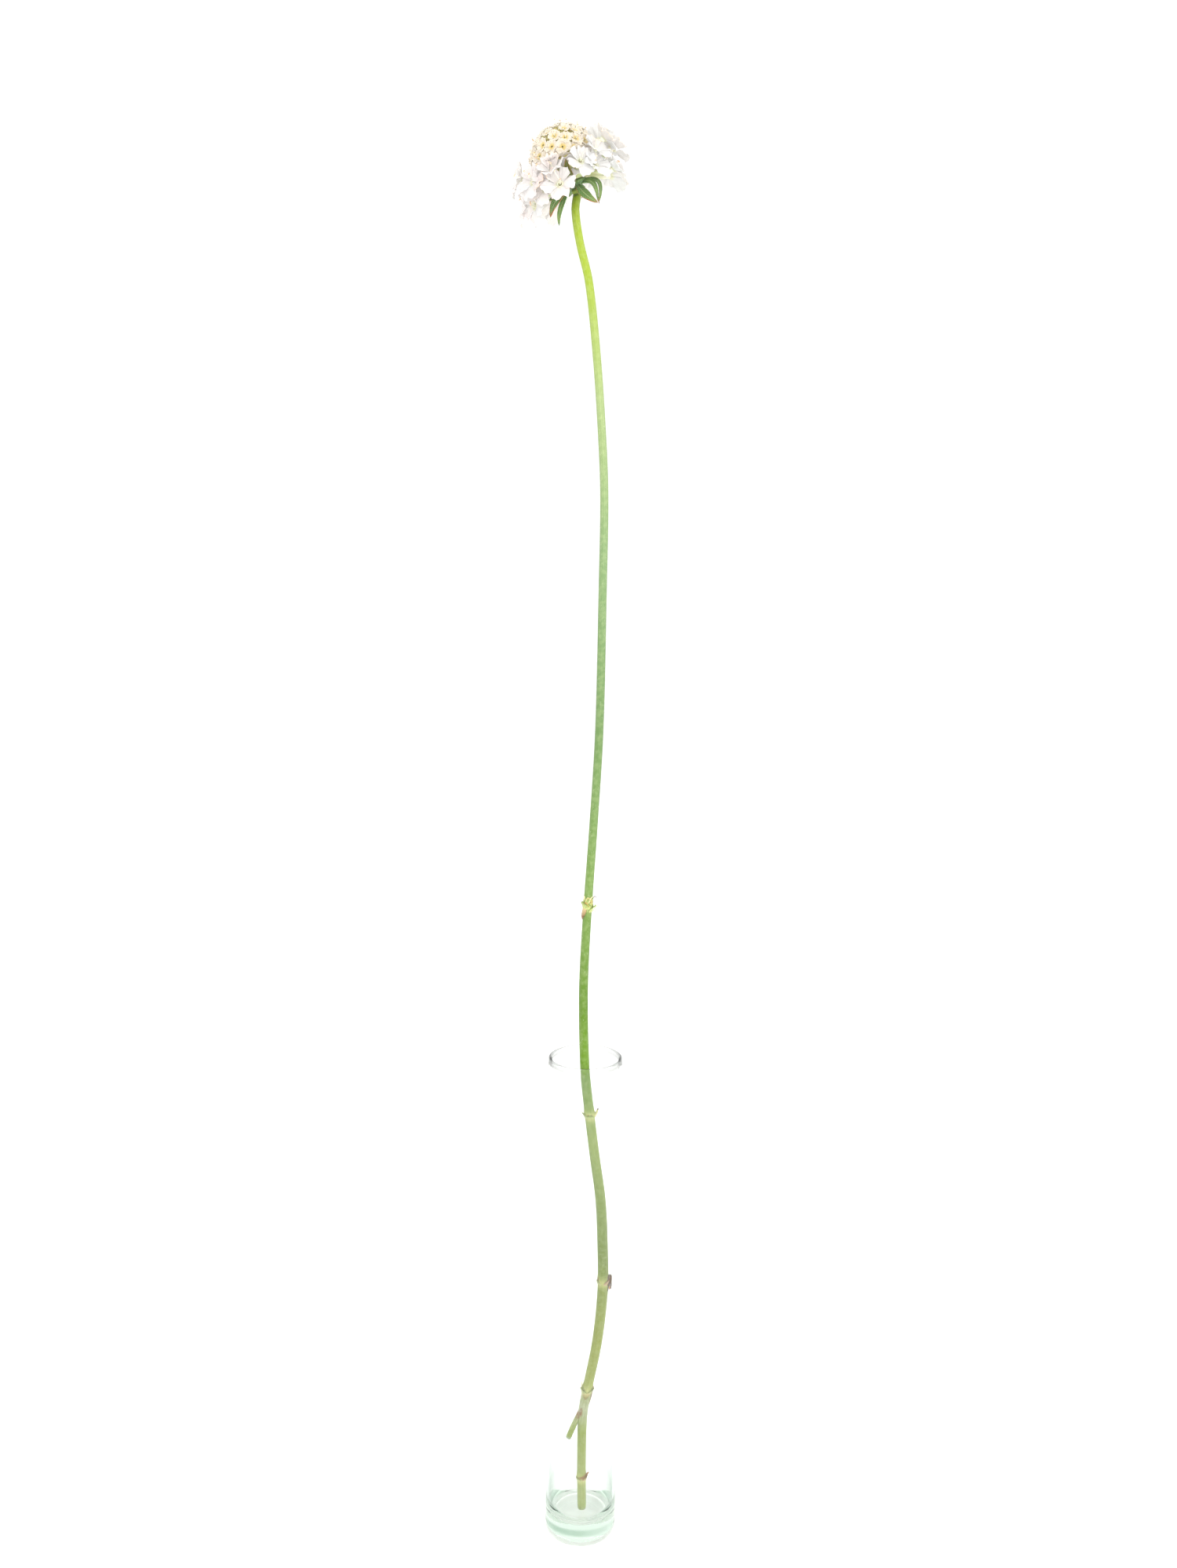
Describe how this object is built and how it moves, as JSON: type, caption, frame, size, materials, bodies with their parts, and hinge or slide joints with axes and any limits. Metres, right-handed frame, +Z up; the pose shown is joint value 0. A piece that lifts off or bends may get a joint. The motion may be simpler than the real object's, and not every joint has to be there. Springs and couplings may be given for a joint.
{
  "type": "flower in vase",
  "caption": "White pincushion flower with hanging outer florets on a long bare stem, standing in a tall slim clear glass cylinder vase",
  "frame": {"origin": "the middle of the vase's flat foot, on the surface that it stands on", "axes": "+Z up along the vase's axis, +X to the right as seen from the front, +Y to the back; the flower leans to the left, and the stem leans on the front of the lip"},
  "size_m": [0.0655, 0.0577, 0.8117],
  "materials": {
    "glass": "clear, polished, with a faint green tint",
    "stem": "satin, fresh light green, faintly ribbed",
    "bracts": "matte, dark green, with brownish margins",
    "white_petals": "matte, soft white",
    "cream_florets": "matte, cream, with yellow-brown throats"
  },
  "bodies": {
    "root": {"vase": "glass", "stem": "stem", "bracts": "bracts", "ray_florets": "white_petals", "dome_florets": "cream_florets"}
  },
  "joints": []
}
